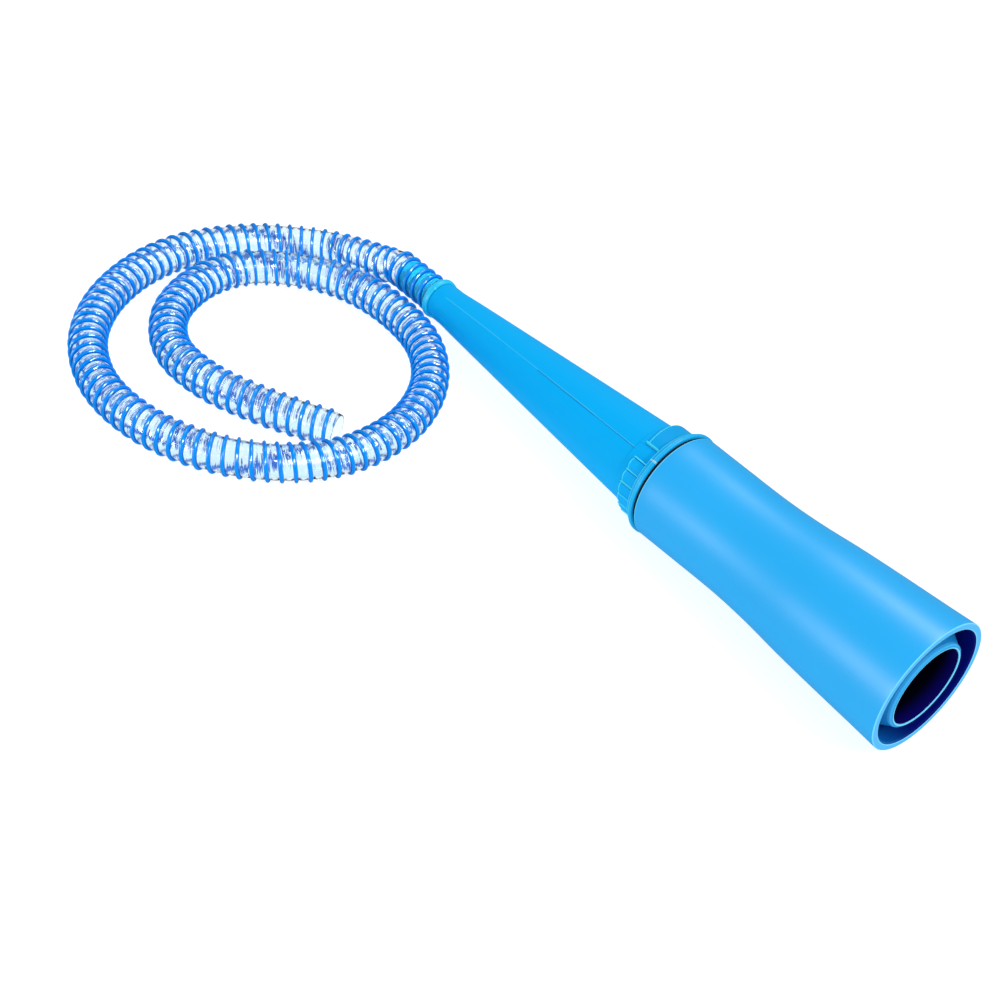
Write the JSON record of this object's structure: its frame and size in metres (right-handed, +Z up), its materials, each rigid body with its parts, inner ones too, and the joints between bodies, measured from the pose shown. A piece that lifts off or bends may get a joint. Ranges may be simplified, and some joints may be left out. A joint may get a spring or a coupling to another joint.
{
  "type": "vacuum hose attachment",
  "caption": "Vent-cleaning vacuum attachment: a flexible spiral hose on a tapered grip, with a twist collar and a flared adapter holding a pull-out reducer.",
  "frame": {"origin": "on the floor below the middle of the rigid tool, without the hose", "axes": "+X along the tool towards the adapter's mouth, +Z up; the hose lies in a loop towards -X and -Y"},
  "size_m": [0.4363, 0.214, 0.0646],
  "materials": {
    "blue_plastic": "moulded, semi-gloss",
    "satin_plastic": "moulded, satin",
    "reducer_plastic": "moulded, satin",
    "connector_plastic": "moulded, semi-gloss",
    "seal_rubber": "matt",
    "hose_plastic": "clear soft plastic with a blue spiral rib"
  },
  "bodies": {
    "handle": {"handle_cone": "blue_plastic", "hose_connector": "connector_plastic", "retaining_ring": "blue_plastic", "hose_cuff": "hose_plastic", "hose_run": "hose_plastic"},
    "collar": {"lock_collar": "blue_plastic"},
    "adapter": {"adapter_sleeve": "satin_plastic", "swivel_seal": "seal_rubber"},
    "reducer": {"reducer_sleeve": "reducer_plastic"}
  },
  "joints": [
    {"name": "collar_twist", "type": "hinge", "parent": "handle", "child": "collar", "pos_m": [0.01316, 0, 0.02621], "axis": [0.9993, 0, 0.0383], "range_deg": [0, 60]},
    {"name": "adapter_swivel", "type": "hinge", "parent": "handle", "child": "adapter", "pos_m": [0.02475, 0, 0.02666], "axis": [0.9993, 0, 0.0383], "continuous": true},
    {"name": "reducer_pull", "type": "slide", "parent": "adapter", "child": "reducer", "axis": [0.9993, 0, 0.0383], "range_m": [0, 0.045]}
  ]
}
